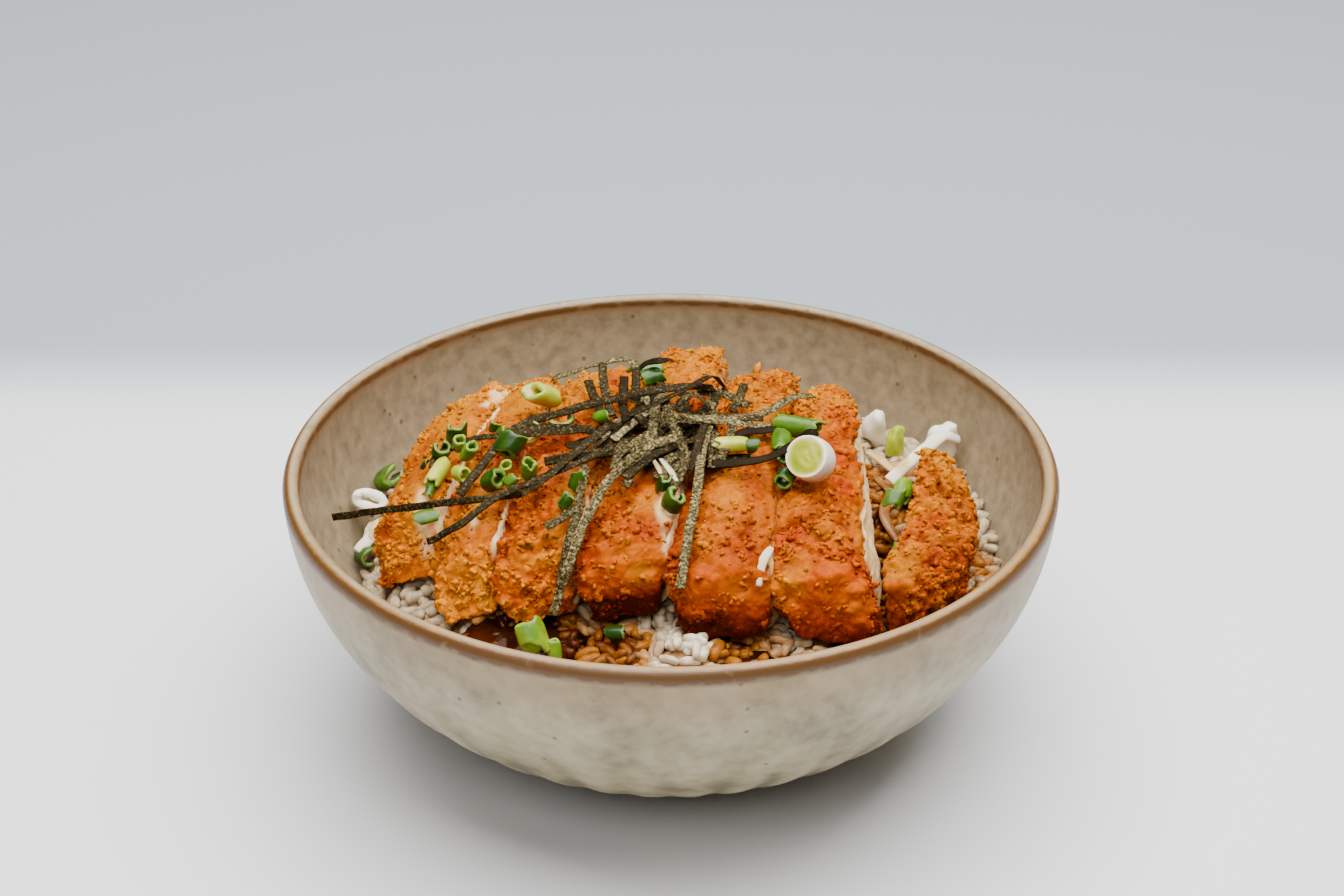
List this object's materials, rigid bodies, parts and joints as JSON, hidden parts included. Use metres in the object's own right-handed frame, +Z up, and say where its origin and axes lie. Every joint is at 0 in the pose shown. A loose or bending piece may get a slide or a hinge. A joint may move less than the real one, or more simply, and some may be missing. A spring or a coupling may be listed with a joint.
{
  "type": "chicken katsu rice bowl",
  "caption": "Breaded fried chicken cutlet, sliced, on steamed rice in a round glazed stoneware bowl, topped with shredded nori, scallion and leek.",
  "frame": {"origin": "centre of the bowl's foot ring, on the surface that it stands on", "axes": "+Z up, the bowl's own axis; the near ends of the slices point to -Y, and +X is to the right of a diner at the -Y side"},
  "size_m": [0.176, 0.176, 0.0808],
  "materials": {
    "stoneware": "satin speckled glaze, greyish beige outside, tan inside, brown lip",
    "rice": "moist translucent steamed grains, partly stained by brown sauce",
    "crust": "crisp fried crumb crust, golden orange, pale meat at the cuts",
    "nori": "dry shredded seaweed, dark olive brown with a silvery mottle",
    "scallion": "fresh wet stalk, green with paler cut ends",
    "onion": "moist white leek and onion, translucent"
  },
  "bodies": {
    "root": {"bowl": "stoneware", "rice_heap": "rice", "katsu_slice_1": "crust", "katsu_slice_2": "crust", "katsu_slice_3": "crust", "katsu_slice_4": "crust", "katsu_slice_5": "crust", "katsu_slice_6": "crust", "katsu_slice_7": "crust", "nori_tangle": "nori", "nori_strip_left_level": "nori", "nori_strip_left_low": "nori", "nori_strip_left_high": "nori", "nori_strip_front_hanging": "nori", "nori_strip_front_straight": "nori", "nori_strip_right_high": "nori", "nori_strip_right_low": "nori", "nori_strip_back_arched": "nori", "scallion_tube_right": "scallion", "scallion_tube_long": "scallion", "scallion_ring_far": "scallion", "scallion_ring_dark": "scallion", "scallion_ring_left": "scallion", "scallion_tube_left": "scallion", "scallion_ring_front": "scallion", "leek_half_ring_left": "onion", "scallion_tube_behind": "scallion", "scallion_piece_middle": "scallion", "scallion_piece_front": "scallion", "scallion_leaf_far": "scallion", "scallion_piece_back_left": "scallion", "scallion_piece_high_left": "scallion", "scallion_piece_dark": "scallion", "onion_piece_left": "onion", "onion_piece_back_right": "onion", "leek_piece_back_right": "onion", "onion_piece_right": "onion", "onion_sliver": "onion", "leek_slice_round": "onion"}
  },
  "joints": []
}
